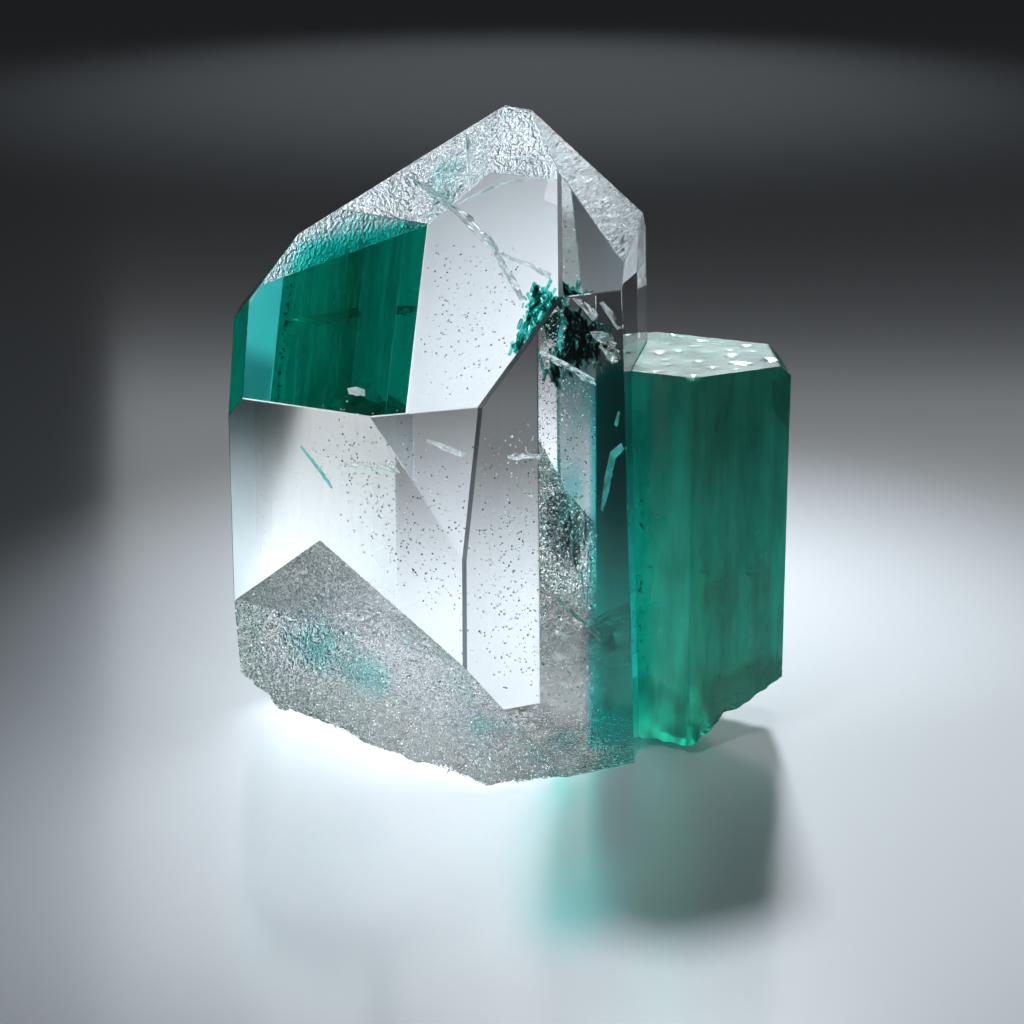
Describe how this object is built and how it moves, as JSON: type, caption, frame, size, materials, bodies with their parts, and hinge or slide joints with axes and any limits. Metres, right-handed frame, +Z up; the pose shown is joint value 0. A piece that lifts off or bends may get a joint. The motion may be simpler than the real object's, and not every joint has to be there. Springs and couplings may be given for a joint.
{
  "type": "emerald and quartz crystal specimen",
  "caption": "Clear pointed quartz crystal with a frosted broken foot and a green six-sided emerald prism grown into its right side.",
  "frame": {"origin": "centre of the outer box in X and Y, on the surface the specimen stands on", "axes": "+Z up along both crystals, -Y to the side the picture shows, +X to the viewer's right, where the emerald is"},
  "size_m": [0.0312, 0.0224, 0.036],
  "materials": {
    "quartz": "clear, polished natural faces with a frosted lower left",
    "emerald": "deep green, see-through, with vertical growth lines"
  },
  "bodies": {
    "root": {"quartz_crystal": "quartz", "emerald_crystal": "emerald"}
  },
  "joints": []
}
